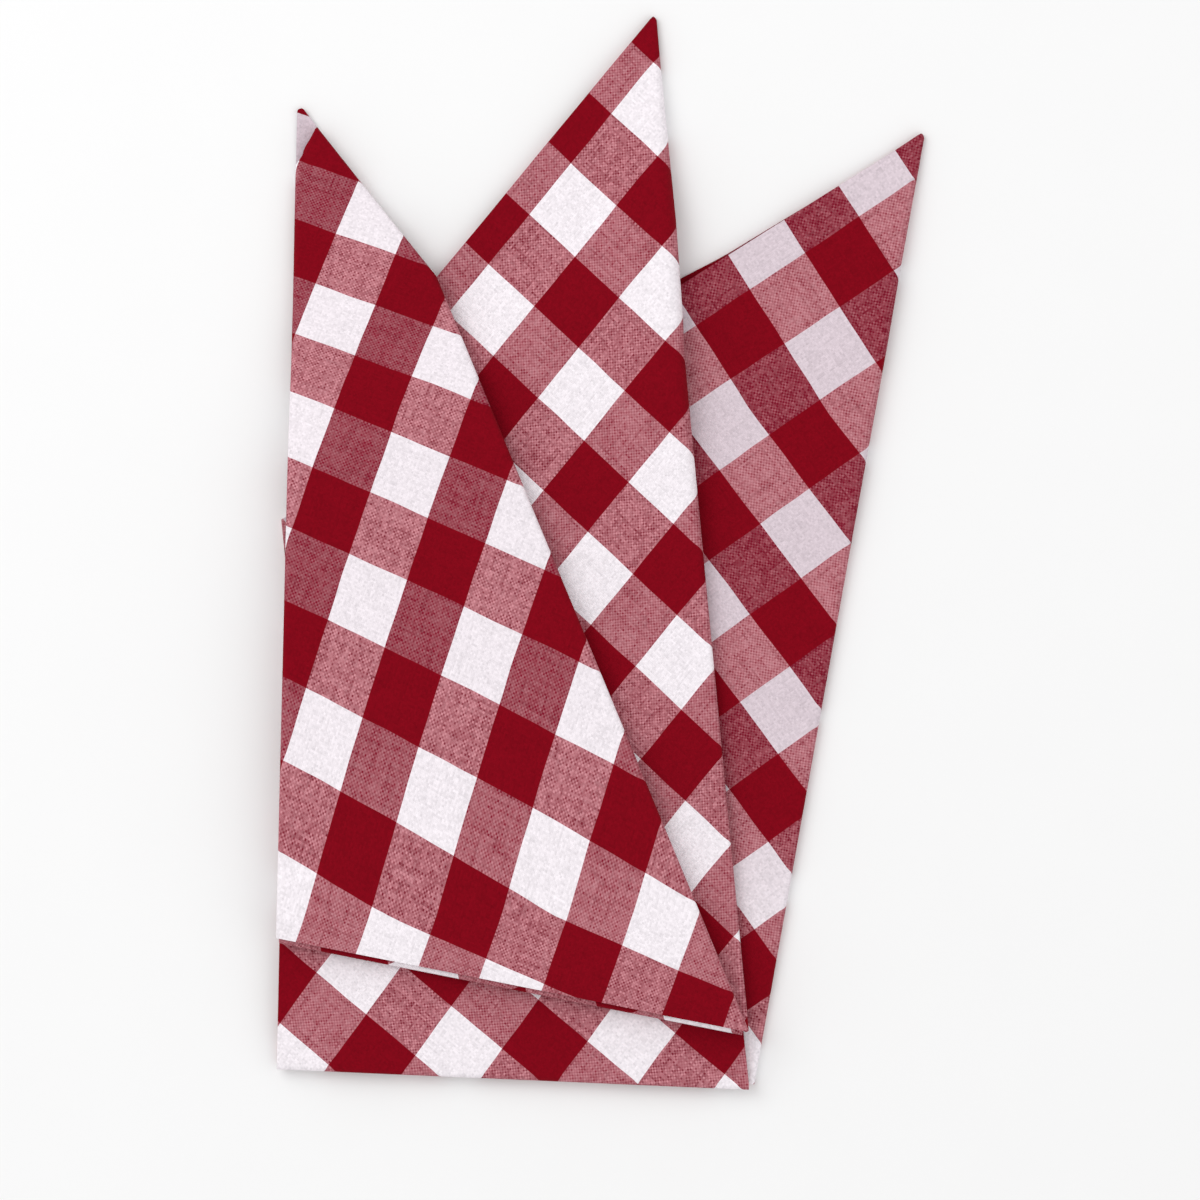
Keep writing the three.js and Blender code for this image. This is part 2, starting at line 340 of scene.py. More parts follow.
class Lie:
    """Heights of the layers and reach of the folds, in millimetres, for the chosen sizes."""

    def __init__(self, sizes):
        self.thickness = sizes.thickness / MM
        self.spacing = sizes.spacing / MM
        self.strip = sizes.strip / MM
        self.rolls = {
            "middle": sizes.middle_roll / MM,
            "far": sizes.far_roll / MM,
            "front": sizes.front_roll / MM,
        }
        self.tips = {
            "middle": MIDDLE_POINT[0]["left_y"],
            "far": FAR_POINT[0]["left_y"],
            "front": FRONT_POINT[0]["left_y"],
        }

    def apart(self, point, y):
        """Spacing of a point's own layers, which are pressed together at its tip."""
        opened = ease((self.tips[point] - y) / TIP_PINCH_LENGTH)
        return self.spacing * (TIP_PINCH + (1 - TIP_PINCH) * opened)

    def roll(self, point, y):
        """Extra height of a point's rolled fold at y."""
        grown = ease((self.tips[point] - y) / ROLL_FADE)
        return self.rolls[point] * grown * ease((y - ROLL_END) / -ROLL_END)

    def rise(self, point, y, distance):
        return self.roll(point, y) * ease(1 - distance / ROLL_WIDTH)

    def fold_radius(self, point, y, room, roll=1.0):
        """How far a fold bulges: half of what it spans, or less where the room is narrow."""
        radius = (self.apart(point, y) + roll * self.roll(point, y)) / 2
        most = max(FOLD_MOST * (room - self.thickness / 2), FOLD_LEAST)
        return most * math.tanh(radius / most)

    def strip_width(self, width):
        return min(self.strip, STRIP_MOST * width)

    def far_back(self, x, y, from_left, from_right):
        return self.thickness / 2

    def far_front(self, x, y, from_left, from_right):
        lifted = self.thickness / 2 + self.apart("far", y) + ripple("point_front", x, y)
        return lifted + self.rise("far", y, from_right)

    def middle_back(self, x, y, from_left=0.0, from_right=0.0):
        down = 1 - settled(FAR_EDGE, x, y)
        return self.thickness / 2 + 2 * self.spacing * down + ripple("middle_back", x, y)

    def middle_front(self, x, y, from_left, from_right):
        lifted = self.middle_back(x, y) + self.apart("middle", y) + ripple("point_front", x, y)
        return lifted + self.rise("middle", y, from_right)

    def front_back(self, x, y, from_left=0.0, from_right=0.0):
        down = 1 - settled(MIDDLE_EDGE, x, y)
        return self.middle_back(x, y) + 2 * self.spacing * down + ripple("front_back", x, y)

    def front_strip(self, x, y, from_left=0.0, from_right=0.0):
        return self.front_back(x, y) + self.apart("front", y)

    def front_front(self, x, y, from_left, from_right):
        width = from_left + from_right
        slope = min(STRIP_SLOPE, STRIP_SLOPE_MOST * width)
        over_strip = ease((self.strip_width(width) + slope - from_right) / slope)
        lifted = self.front_back(x, y) + self.apart("front", y) * (1 + over_strip)
        return lifted + ripple("point_front", x, y) + self.rise("front", y, from_left)


# ---- Where the checks lie -------------------------------------------------------------------


def woven(weave):
    """A function from a place on a layer to the cloth's own measure there, in checks."""
    a_angle, b_angle = math.radians(weave["a_angle"]), math.radians(weave["b_angle"])
    ax, ay = weave["a_step"] * math.cos(a_angle), weave["a_step"] * math.sin(a_angle)
    bx, by = weave["b_step"] * math.cos(b_angle), weave["b_step"] * math.sin(b_angle)
    area = ax * by - ay * bx

    def measure(x, y):
        dx, dy = x - weave["x"], y - weave["y"]
        a = weave["a_first"] + weave["sense"] * (dx * by - dy * bx) / area
        b = weave["b_first"] + weave["sense"] * (ax * dy - ay * dx) / area
        return a, b

    return measure


def turned_over(measure, fold):
    """The measure on the other side of a fold, given as two places on its line."""
    (x0, y0), (x1, y1) = fold
    length = math.hypot(x1 - x0, y1 - y0)
    dx, dy = (x1 - x0) / length, (y1 - y0) / length

    def measure_over(x, y):
        along = (x - x0) * dx + (y - y0) * dy
        return measure(2 * (x0 + along * dx) - x, 2 * (y0 + along * dy) - y)

    return measure_over


def slid(measure, fold, slide):
    """The measure on a layer that has slid, more and more away from a fold's line."""
    (x0, y0), (x1, y1) = fold
    length = math.hypot(x1 - x0, y1 - y0)

    def measured(x, y):
        a, b = measure(x, y)
        away = abs((x - x0) * (y1 - y0) - (y - y0) * (x1 - x0)) / length
        return a + slide["checks"] * ease(away / slide["length"]), b

    return measured


def drifting(measure, towards, drift):
    """The first measure at the points, easing into the second one down the layer."""

    def measured(x, y):
        share = min(max((drift["start"] - y) / drift["length"], 0.0), 1.0)
        (a0, b0), (a1, b1) = measure(x, y), towards(x, y)
        return a0 + share * (a1 - a0), b0 + share * (b1 - b0)

    return measured


# ---- Rows down a pair of layers ------------------------------------------------------------


class Row:
    """One row's outer ends, and the way down and outwards along the cloth's edge at each."""

    def __init__(self, left, right):
        self.left, self.right = left, right
        self.along = (right - left).normalized()
        self.width = (right - left).length

    def set_edges(self, above, below):
        left_down = (below.left - above.left).normalized()
        right_down = (below.right - above.right).normalized()
        self.left_down, self.right_down = left_down, right_down
        self.left_out = Vector((left_down.y, -left_down.x))
        self.right_out = Vector((-right_down.y, right_down.x))


def station_ends(station):
    left = Vector((station["left_x"], station["left_y"]))
    return left, Vector((station["right_x"], station["right_y"]))


def tip_rows(point, radius):
    """Rows round a tip whose edges would meet at the first station, down to its straight edges."""
    apex, _ = station_ends(point[0])
    left_end, right_end = station_ends(point[1])
    left, right = (left_end - apex).normalized(), (right_end - apex).normalized()
    inwards = (left + right).normalized()
    half = left.angle(right) / 2
    centre = apex + inwards * (radius / math.sin(half))
    across = Vector((-inwards.y, inwards.x))
    rows = []
    for turn in (*TIP_TURNS, 90.0 - math.degrees(half)):
        up = inwards * -math.cos(math.radians(turn))
        out = across * math.sin(math.radians(turn))
        rows.append(Row(centre + (up - out) * radius, centre + (up + out) * radius))
    return rows


def rows_of(point, radius):
    """All the rows of a pair of layers, and the row that each station starts."""
    rows = tip_rows(point, radius)
    starts = [0]
    left, right = rows[-1].left, rows[-1].right
    for here, after in zip(point, point[1:]):
        next_left, next_right = station_ends(after)
        for i in range(1, here["rows"] + 1):
            share = i / here["rows"]
            rows.append(Row(left.lerp(next_left, share), right.lerp(next_right, share)))
        starts.append(len(rows) - 1)
        left, right = next_left, next_right
    for i, row in enumerate(rows):
        row.set_edges(rows[max(i - 1, 0)], rows[min(i + 1, len(rows) - 1)])
    return rows, starts


class Fold:
    """Where a folded edge bulges to at one row.

    along runs with the row into the fold, out is square to the fold and down runs along it.
    """

    def __init__(self, along, out, down, radius):
        self.out, self.down, self.radius = out, down, radius
        self.sweep = along / max(along.dot(out), SWEEP_LEAST)

    def inset(self, half):
        """From the outline to where the layers' flat part ends."""
        return -self.sweep * (self.radius + half)

    def bulge(self, angle):
        return self.sweep * (self.radius * math.sin(angle))

    def unrolled(self, place, height, angle):
        """Where a place on the bend would be in plan if the cloth ran on flat."""
        arc = angle * (self.radius + abs(height)) / 2
        slide = self.bulge(angle).dot(self.down)
        return place + self.out * arc + self.down * slide


def left_fold(row, radius):
    return Fold(-row.along, row.left_out, row.left_down, radius)


def right_fold(row, radius):
    return Fold(row.along, row.right_out, row.right_down, radius)


def bottom_fold(row, radius):
    """The fold across the bottom, which is straight."""
    out = Vector((row.along.y, -row.along.x))
    return Fold(out, out, row.along, radius)


def spans_of(rows, left_folds=None, right_folds=None, half=0.0):
    """The ends of each row's flat part, moved in where the cloth folds over."""
    spans = []
    for i, row in enumerate(rows):
        left = row.left + left_folds[i].inset(half) if left_folds else row.left
        right = row.right + right_folds[i].inset(half) if right_folds else row.right
        spans.append((left, right))
    return spans


def fold_line(rows, folds, half, right):
    """The line that the checks turn over at: through the middle of the bend, laid out flat."""
    places = []
    for row, fold in ((rows[0], folds[0]), (rows[-1], folds[-1])):
        edge = row.right if right else row.left
        places.append(edge - fold.out * half + fold.out * fold.radius * (math.pi / 2 - 1))
    return places


def bottom_line(span, fold):
    """The line across the bottom that the checks turn over at."""
    return [end + fold.out * (fold.radius * math.pi / 2) for end in span]


class FarPair:
    """The far point's two layers: a fold on the right, and the back layer further out."""

    def __init__(self, lie):
        self.rows, _ = rows_of(FAR_POINT, TIP_ROUNDING["far"])
        self.folds = [
            right_fold(row, lie.fold_radius("far", row.right.y, row.width)) for row in self.rows
        ]
        self.spans = spans_of(self.rows, None, self.folds, lie.thickness / 2)
        self.back_spans = [
            (left - Vector((self.shows(left), 0.0)), right) for left, right in self.spans
        ]
        self.bottom = bottom_fold(self.rows[-1], lie.spacing / 2)
        self.line = fold_line(self.rows, self.folds, lie.thickness / 2, True)

    @staticmethod
    def shows(place):
        """How far the back layer comes out on the left."""
        out = FAR_SHOWS["rate"] * max(FAR_SHOWS["from_x"] - place.x, 0.0)
        out += FAR_SHOWS["wider_rate"] * max(FAR_SHOWS["wider_from_x"] - place.x, 0.0)
        fade = ease((place.y - FAR_SHOWS["from_y"]) / FAR_SHOWS["length"] + 1)
        return min(out, FAR_SHOWS["most"]) * fade


class MiddlePair:
    """The middle point's two layers: a fold on the right, and a front layer that ends sooner."""

    def __init__(self, lie):
        rows, starts = rows_of(MIDDLE_POINT, TIP_ROUNDING["middle"])
        folds = [
            right_fold(row, lie.fold_radius("middle", row.right.y, row.width)) for row in rows
        ]
        count = starts[MIDDLE_FRONT_ENDS] + 1
        self.back_spans = spans_of(rows, None, folds, lie.thickness / 2)
        self.spans = self.back_spans[:count]
        self.folds = folds[:count]
        self.line = fold_line(rows[:count], self.folds, lie.thickness / 2, True)


class FrontPair:
    """The front point's two layers: folds on both sides, and a front layer that starts lower."""

    def __init__(self, lie):
        rows, starts = rows_of(FRONT_POINT, TIP_ROUNDING["front"])
        self.first = starts[FRONT_LAYER_STARTS]
        self.corner_ends = starts[FRONT_CORNER_ENDS]
        folded = rows[self.first :]
        self.left_folds = [
            left_fold(row, lie.fold_radius("front", row.left.y, row.width / 2)) for row in folded
        ]
        self.right_folds = [
            right_fold(row, lie.fold_radius("front", row.right.y, row.width / 2, roll=0.0))
            for row in folded
        ]
        half = lie.thickness / 2
        self.spans = spans_of(folded, self.left_folds, self.right_folds, half)
        self.back_spans = spans_of(rows[: self.first]) + self.spans
        self.bottom = bottom_fold(rows[-1], lie.spacing / 2)
        self.line = fold_line(folded, self.left_folds, half, False)


class Checks:
    """The cloth's measure on each layer, turned over at every fold."""

    def __init__(self, far, middle, front):
        self.middle = woven(MIDDLE_WEAVE)
        self.middle_over = turned_over(self.middle, middle.line)

        below = turned_over(self.middle_over, bottom_line(far.spans[-1], far.bottom))
        self.far = drifting(woven(FAR_WEAVE), below, FAR_DRIFT)
        self.far_over = slid(turned_over(self.far, far.line), far.line, SLID)

        above = turned_over(self.middle, bottom_line(front.spans[-1], front.bottom))
        self.front = drifting(woven(FRONT_WEAVE), turned_over(above, front.line), FRONT_DRIFT)
        self.front_over = turned_over(self.front, front.line)

    def drawn_up(self, x, y):
        """The measure on the front point's back layer, drawn up at its tip."""
        a, b = self.front_over(x, y)
        share = ease(1 + beyond(FRONT_EDGE, x, y) / DRAWN_UP["length"])
        return a, b - DRAWN_UP["checks"] * share

    @staticmethod
    def corner(x, y):
        return CORNER_MEASURE


# ---- The middle surface of the cloth --------------------------------------------------------


def plain(point):
    return point.x, point.y


class Cloth:
    """Points, faces, the cloth's measure at each corner and the painted light and shade at each
    point.
    """

    def __init__(self):
        self.points = []
        # The painted light and shade at each point, which the material reads as the attribute yarns.
        self.yarns = []
        self.faces = []
        self.corners = []

    def add_point(self, x, y, z, yarn):
        # yarn is the point's painted light and shade.
        self.points.append(Vector((x, y, z)))
        self.yarns.append(yarn)
        return len(self.points) - 1

    def add_face(self, corners, facing):
        """One face through four (index, measure) corners, turned to the facing direction."""
        a, b, c, d = (self.points[index] for index, _ in corners)
        if (c - a).cross(d - b).dot(facing) < 0:
            corners = corners[::-1]
        self.faces.append([index for index, _ in corners])
        self.corners.extend(measure for _, measure in corners)

    def add_rows(self, rows, side):
        """Faces between rows of (index, measure) pairs."""
        facing = Vector((0.0, 0.0, side))
        for above, below in zip(rows, rows[1:]):
            for c in range(len(above) - 1):
                self.add_face((above[c], above[c + 1], below[c + 1], below[c]), facing)

    def add_layer(self, spans, height, measure, yarn, side, corner=None):
        """One large layer: a row of points from left to right for each span.

        corner is the number of rows in a turned-down corner at the tip, and their own measure.
        """
        rows = []
        for left, right in spans:
            width = (right - left).length
            row = []
            for i in range(LARGE_COLUMNS + 1):
                share = (1 - math.cos(math.pi * i / LARGE_COLUMNS)) / 2
                x, y = left.lerp(right, share)
                z = height(x, y, share * width, (1 - share) * width)
                # yarn gives each point its painted light and shade.
                row.append(self.add_point(x, y, z, yarn(y)))
            rows.append(row)
        first = 0
        if corner:
            first, corner_measure = corner
            self.add_rows(self.measured(rows[: first + 1], corner_measure), side)
        self.add_rows(self.measured(rows[first:], measure), side)
        return rows

    def measured(self, rows, measure):
        return [[(i, measure(*plain(self.points[i]))) for i in row] for row in rows]

    def add_bend(self, upper, lower, folds, measures, side):
        """A half turn from the upper layer's edge round to the lower layer's.

        measures are the upper and lower layers' own, or the upper's alone for both.
        """
        before = None
        for top, bottom, fold in zip(upper, lower, folds):
            start, end = self.points[top], self.points[bottom]
            centre, up = (start + end) / 2, (start - end) / 2
            turn = []
            for k in range(BEND_STEPS + 1):
                angle = math.pi * k / BEND_STEPS
                index = {0: top, BEND_STEPS: bottom}.get(k)
                if index is None:
                    place = centre + up * math.cos(angle) + fold.bulge(angle).to_3d()
                    share = k / BEND_STEPS
                    # The painted light and shade eases round the bend from the upper layer's value
                    # to the lower layer's.
                    yarn = self.yarns[top] * (1 - share) + self.yarns[bottom] * share
                    index = self.add_point(*place, yarn)
                measure = self.measure_on_bend(fold, start, end, up.z, angle, measures)
                turn.append((index, measure))
            if before:
                for k in range(BEND_STEPS):
                    corners = (before[k], turn[k], turn[k + 1], before[k + 1])
                    middle = (self.points[turn[k][0]] + self.points[turn[k + 1][0]]) / 2
                    self.add_face(corners, (middle - centre) * side)
            before = turn

    @staticmethod
    def measure_on_bend(fold, start, end, height, angle, measures):
        """The upper layer's measure as far as can be seen, easing into the lower layer's."""
        a0, b0 = measures[0](*fold.unrolled(start.to_2d(), height, angle))
        if len(measures) == 1:
            return a0, b0
        a1, b1 = measures[1](*fold.unrolled(end.to_2d(), height, math.pi - angle))
        share = ease((math.degrees(angle) - EASE_FROM) / (180.0 - EASE_FROM))
        return a0 + share * (a1 - a0), b0 + share * (b1 - b0)


# Painted light and shade on each layer, by height on the cloth. It is above 0 on the front point and
# 0 on the middle point, which has none. It is below 0 on the far point, and further below 0 on the
# front point's back layer at its tip, where the whites get the darkest painted shade.
def front_painted_light(y):
    return ease((y - PAINTED_LIGHT_FADE["front"]["bottom"]) / PAINTED_LIGHT_FADE["front"]["length"])


def front_back_painted_light(y):
    tip = ease((y - FRONT_TIP_PAINTED_SHADE["from_y"]) / FRONT_TIP_PAINTED_SHADE["length"])
    return front_painted_light(y) - FRONT_TIP_PAINTED_SHADE["change"] * tip


def middle_painted_light(y):
    return 0.0


def far_painted_light(y):
    return -ease((y - PAINTED_LIGHT_FADE["far"]["bottom"]) / PAINTED_LIGHT_FADE["far"]["length"])


def add_strip(cloth, lie, pair, measure):
    """The narrow strip turned under the front layer's right side, as rows of points."""
    rows = []
    for (left, right), fold in zip(pair.spans, pair.right_folds):
        width = (right - left).length
        share = lie.strip_width(width) / width
        row = []
        for i in range(STRIP_COLUMNS + 1):
            place = right.lerp(left, share * (1 - i / STRIP_COLUMNS))
            index = cloth.add_point(*place, lie.front_strip(*place), front_painted_light(place.y))
            back = place - right
            arc = math.pi * (fold.radius + lie.apart("front", place.y) / 2) / 2
            flat = right + fold.out * (arc - back.dot(fold.out)) + fold.down * back.dot(fold.down)
            row.append((index, measure(*flat)))
        rows.append(row)
    cloth.add_rows(rows, -1)
    return [[index for index, _ in row] for row in rows]


def left_of(layer):
    return [row[0] for row in layer]


def right_of(layer):
    return [row[-1] for row in layer]


def fold_cloth(lie):
    """The whole square, folded back and forth, as one middle surface."""
    cloth = Cloth()
    far, middle, front = FarPair(lie), MiddlePair(lie), FrontPair(lie)
    checks = Checks(far, middle, front)

    far_back = cloth.add_layer(far.back_spans, lie.far_back, checks.far_over, far_painted_light, -1)
    far_front = cloth.add_layer(far.spans, lie.far_front, checks.far, far_painted_light, 1)
    middle_back = cloth.add_layer(
        middle.back_spans, lie.middle_back, checks.middle_over, middle_painted_light, -1
    )
    middle_front = cloth.add_layer(middle.spans, lie.middle_front, checks.middle, middle_painted_light, 1)
    front_back = cloth.add_layer(
        front.back_spans,
        lie.front_back,
        checks.drawn_up,
        front_back_painted_light,
        -1,
        corner=(front.corner_ends, checks.corner),
    )
    front_front = cloth.add_layer(front.spans, lie.front_front, checks.front, front_painted_light, 1)
    strip = add_strip(cloth, lie, front, checks.front)

    side_bends = (
        (right_of(far_front), right_of(far_back), far.folds, (checks.far, checks.far_over)),
        (
            right_of(middle_front),
            right_of(middle_back),
            middle.folds,
            (checks.middle, checks.middle_over),
        ),
        (
            left_of(front_front),
            left_of(front_back)[front.first :],
            front.left_folds,
            (checks.front, checks.front_over),
        ),
        (right_of(front_front), right_of(strip), front.right_folds, (checks.front,)),
    )
    for upper, lower, folds, measures in side_bends:
        cloth.add_bend(upper, lower, folds, measures, 1)
    bottom_bends = (
        (middle_back[-1], far_front[-1], far.bottom, (checks.middle_over, checks.far)),
        (front_back[-1], middle_front[-1], front.bottom, (checks.front_over, checks.middle)),
    )
    for upper, lower, fold, measures in bottom_bends:
        cloth.add_bend(upper, lower, [fold] * len(upper), measures, -1)
    return cloth


# ---- Objects --------------------------------------------------------------------------------


def select_only(*objects):
    bpy.ops.object.select_all(action="DESELECT")
    for obj in objects:
        obj.select_set(True)
    bpy.context.view_layer.objects.active = objects[0]


def place_in_frame(point):
    """A place on the outlines, in millimetres, as one in the frame, in metres."""
    across = FRAME_HIGH.x - FAR_TIP_X * MM
    up = FRAME_HIGH.y - MIDDLE_TIP_Y * MM
    return (point.x * MM + across, point.y * MM + up, point.z * MM)


def cloth_object(name, cloth, sizes, look):
    """The middle surface as a mesh, given its thickness and softened edges."""
    mesh = bpy.data.meshes.new(name)
    mesh.from_pydata([place_in_frame(p) for p in cloth.points], [], cloth.faces)
    layer = mesh.uv_layers.new(name="Cloth")
    for corner, (a, b) in zip(layer.data, cloth.corners):
        corner.uv = (a * look.check, b * look.check)
    # Painted light and shade, as a value at each point that the material reads.
    yarns = mesh.attributes.new("yarns", "FLOAT", "POINT")
    yarns.data.foreach_set("value", cloth.yarns)
    obj = bpy.data.objects.new(name, mesh)
    bpy.context.scene.collection.objects.link(obj)
    select_only(obj)

    thicken = obj.modifiers.new("Thickness", "SOLIDIFY")
    thicken.thickness = sizes.thickness
    thicken.offset = 0.0
    thicken.use_quality_normals = True
    bpy.ops.object.modifier_apply(modifier=thicken.name)
    soften = obj.modifiers.new("Soft edges", "BEVEL")
    soften.width = sizes.thickness * 0.3
    soften.segments = 2
    soften.limit_method = "ANGLE"
    soften.angle_limit = math.radians(60)
    bpy.ops.object.modifier_apply(modifier=soften.name)
    bpy.ops.object.shade_smooth_by_angle(angle=math.radians(60))
    return obj


# ---- Materials ------------------------------------------------------------------------------


MATH = "ShaderNodeMath"
NOISE = "ShaderNodeTexNoise"
COMBINE = "ShaderNodeCombineXYZ"
VECTOR_MATH = "ShaderNodeVectorMath"
MIX = "ShaderNodeMix"


def add_node(tree, kind, inputs, **settings):
    """Adds a node with its settings and inputs, which are values or other nodes' outputs.

    Inputs are given in order, or by number or name. The new node's outputs are given back.
    """
    node = tree.nodes.new(kind)
    for key, value in settings.items():
        setattr(node, key, value)
    for key, value in inputs.items() if isinstance(inputs, dict) else enumerate(inputs):
        if isinstance(value, bpy.types.NodeSocket):
            tree.links.new(value, node.inputs[key])
        else:
            node.inputs[key].default_value = value
    return node.outputs


def new_material(name):
    material = bpy.data.materials.new(name)
    material.use_nodes = True
    material.node_tree.nodes.clear()
    return material


def cloth_measure(tree):
    """The cloth's measure, a and b, wandering a little as handled yarns do."""
    place = add_node(tree, "ShaderNodeUVMap", (), uv_map="Cloth")[0]
    noise = add_node(
        tree,
        NOISE,
        {"Vector": place, "Scale": 1 / WANDER["length"], "Detail": 1.0},
        noise_dimensions="2D",
    )["Color"]
    centred = add_node(tree, VECTOR_MATH, (noise, (0.5, 0.5, 0.5)), operation="SUBTRACT")[0]
    reach = (WANDER["reach"], WANDER["reach"], 0.0)
    moved = add_node(tree, VECTOR_MATH, (centred, reach, place), operation="MULTIPLY_ADD")[0]
    axes = add_node(tree, "ShaderNodeSeparateXYZ", (moved,))
    return axes[0], axes[1]


def red_band(tree, index, look):
    """1 where a yarn is dyed red: every second check."""
    share = look.thread / (2 * look.check)
    turn = add_node(tree, MATH, (index, share), operation="MULTIPLY")[0]
    part = add_node(tree, MATH, (turn,), operation="FRACT")[0]
    return add_node(tree, MATH, (part, 0.5), operation="GREATER_THAN")[0]


def unevenness(tree, index, along, start):
    """Thickness of one yarn, which changes slowly along it: about -0.5 to 0.5."""
    spread = add_node(tree, MATH, (index, UNEVEN_SPREAD, start), operation="MULTIPLY_ADD")[0]
    slow = add_node(tree, MATH, (along, 1 / UNEVEN_LENGTH), operation="MULTIPLY")[0]
    place = add_node(tree, COMBINE, (spread, slow))[0]
    noise = add_node(
        tree, NOISE, {"Vector": place, "Scale": 1.0, "Detail": 2.0}, noise_dimensions="2D"
    )["Fac"]
    return add_node(tree, MATH, (noise, 0.5), operation="SUBTRACT")[0]


def plain_weave(tree, yarn_a, yarn_b):
    """Yarns taking turns on top: 1 where one counted by a is, -1 where one counted by b is."""
    waves = []
    for yarn in (yarn_a, yarn_b):
        turn = add_node(tree, MATH, (yarn, math.pi), operation="MULTIPLY")[0]
        waves.append(add_node(tree, MATH, (turn,), operation="SINE")[0])
    return add_node(tree, MATH, waves, operation="MULTIPLY")[0]


def chance_at(tree, index_a, index_b):
    """A value of its own for each crossing, about -0.5 to 0.5: yarns are twisted and fuzzy."""
    crossing = add_node(tree, COMBINE, (index_a, index_b))[0]
    noise = add_node(
        tree, "ShaderNodeTexWhiteNoise", {"Vector": crossing}, noise_dimensions="2D"
    )["Value"]
    return add_node(tree, MATH, (noise, 0.5), operation="SUBTRACT")[0]


def yarn_on_top(tree, weave, uneven_a, uneven_b, chance):
    """How much of a crossing its a yarn covers, from 0 to 1."""
    top = 0.5
    for value, share in (
        (weave, TOP["turn"]),
        (uneven_a, TOP["uneven"]),
        (uneven_b, -TOP["uneven"]),
        (chance, TOP["chance"]),
    ):
        top = add_node(tree, MATH, (value, share, top), operation="MULTIPLY_ADD")[0]
    top = add_node(tree, MATH, (top, 0.0), operation="MAXIMUM")[0]
    return add_node(tree, MATH, (top, 1.0), operation="MINIMUM")[0]


def painted_light_sides(tree):
    """The painted light and shade, split into its part above 0 (the front point's layers) and below
    0 (the far point's layers and the front point's tip).
    """
    lie = add_node(tree, "ShaderNodeAttribute", (), attribute_name="yarns")["Fac"]
    painted_light_a = add_node(tree, MATH, (lie, 0.0), operation="MAXIMUM")[0]
    other = add_node(tree, MATH, (lie, -1.0), operation="MULTIPLY")[0]
    painted_light_b = add_node(tree, MATH, (other, 0.0), operation="MAXIMUM")[0]
    return painted_light_a, painted_light_b


def white_showing(tree, top, red_a, red_b, painted_light_a, painted_light_b):
    """The share of white that shows where one yarn is red and the other white, with painted light
    that gives the yarns of one direction more of each crossing on the outer points' layers.
    """
    under = add_node(tree, MATH, (1.0, top), operation="SUBTRACT")[0]
    white = add_node(tree, MIX, {0: red_b, 2: under, 3: top}, data_type="FLOAT")[0]
    # Painted light: how much more of the crossing the lit yarns take, from the layer's painted light
    # and shade.
    covers = []
    for lie, red, cover in ((painted_light_a, red_a, PAINTED_LIGHT_COVER["red_a"]), (painted_light_b, red_b, PAINTED_LIGHT_COVER["red_b"])):
        over = add_node(tree, MATH, (red, cover, PAINTED_LIGHT_COVER["white"]), operation="MULTIPLY_ADD")[0]
        covers.append(add_node(tree, MATH, (lie, over), operation="MULTIPLY")[0])
    painted_light_cover = add_node(tree, MATH, covers, operation="ADD")[0]
    white = add_node(tree, MATH, (painted_light_cover, -PAINTED_LIGHT_TAKES, white), operation="MULTIPLY_ADD")[0]
    white = add_node(tree, MATH, (white, WHITE_ADDED), operation="ADD")[0]
    white = add_node(tree, MATH, (white, 0.0), operation="MAXIMUM")[0]
    left = add_node(tree, MATH, (painted_light_cover, -PAINTED_LIGHT_THINS, 1.0), operation="MULTIPLY_ADD")[0]
    return add_node(tree, MATH, (white, left), operation="MULTIPLY")[0]


def check_colour(tree, look, white_share, red_a, red_b, painted_light_a, painted_light_b):
    """Red where red crosses red, white where white crosses white, and pink between. The whites get
    painted shade on the front and far points' layers.
    """
    red = (*look.red, 1.0)
    white = (*look.white, 1.0)
    painted_shade_white = (*look.painted_shade_white, 1.0)
    ends = {6: (*look.red_crossing, 1.0), 7: (*look.white_crossing, 1.0)}
    # Painted shade on the whites, from the layer's painted light and shade: most on the far point
    # and at the front point's tip.
    turned = add_node(tree, MATH, (painted_light_b, PAINTED_SHADE_ON_WHITE["b"]), operation="MULTIPLY")[0]
    turned = add_node(tree, MATH, (painted_light_a, PAINTED_SHADE_ON_WHITE["a"], turned), operation="MULTIPLY_ADD")[0]
    colours = {"data_type": "RGBA", "clamp_factor": True}
    white_with_painted_shade = add_node(tree, MIX, {0: turned, 6: white, 7: painted_shade_white}, **colours)[2]
    crossing = add_node(tree, MIX, {0: white_share, **ends}, **colours)[2]
    any_red = add_node(tree, MATH, (red_a, red_b), operation="MAXIMUM")[0]
    both_red = add_node(tree, MATH, (red_a, red_b), operation="MULTIPLY")[0]
    colour = add_node(tree, MIX, {0: any_red, 6: white_with_painted_shade, 7: crossing}, **colours)[2]
    return add_node(tree, MIX, {0: both_red, 6: colour, 7: red}, **colours)[2]


def shaded(tree, colour, grain, chance, uneven_a, uneven_b):
    """The colour with its grain. Here and there a pulled yarn shows as a short dark line."""
    pulled = [
        add_node(tree, MATH, (uneven, PULLED), operation="GREATER_THAN")[0]
        for uneven in (uneven_a, uneven_b)
    ]
    lines = add_node(tree, MATH, pulled, operation="ADD")[0]
    shade = 1.0
    for value, share in (
        (grain, SHADE["grain"]),
        (lines, SHADE["pulled"]),
        (chance, SHADE["chance"]),
    ):
        shade = add_node(tree, MATH, (value, share, shade), operation="MULTIPLY_ADD")[0]
    return add_node(tree, VECTOR_MATH, {0: colour, "Scale": shade}, operation="SCALE")[0]


def yarn_relief(tree, weave, grain):
    """The low relief of the yarns' crowns, as a normal."""
    crown = add_node(tree, MATH, (weave,), operation="ABSOLUTE")[0]
    crowns = add_node(tree, MATH, (crown, RELIEF["crown"]), operation="MULTIPLY")[0]
    height = add_node(tree, MATH, (grain, RELIEF["grain"], crowns), operation="MULTIPLY_ADD")[0]
    inputs = {"Strength": RELIEF["strength"], "Distance": RELIEF["depth"], "Height": height}
    return add_node(tree, "ShaderNodeBump", inputs)[0]


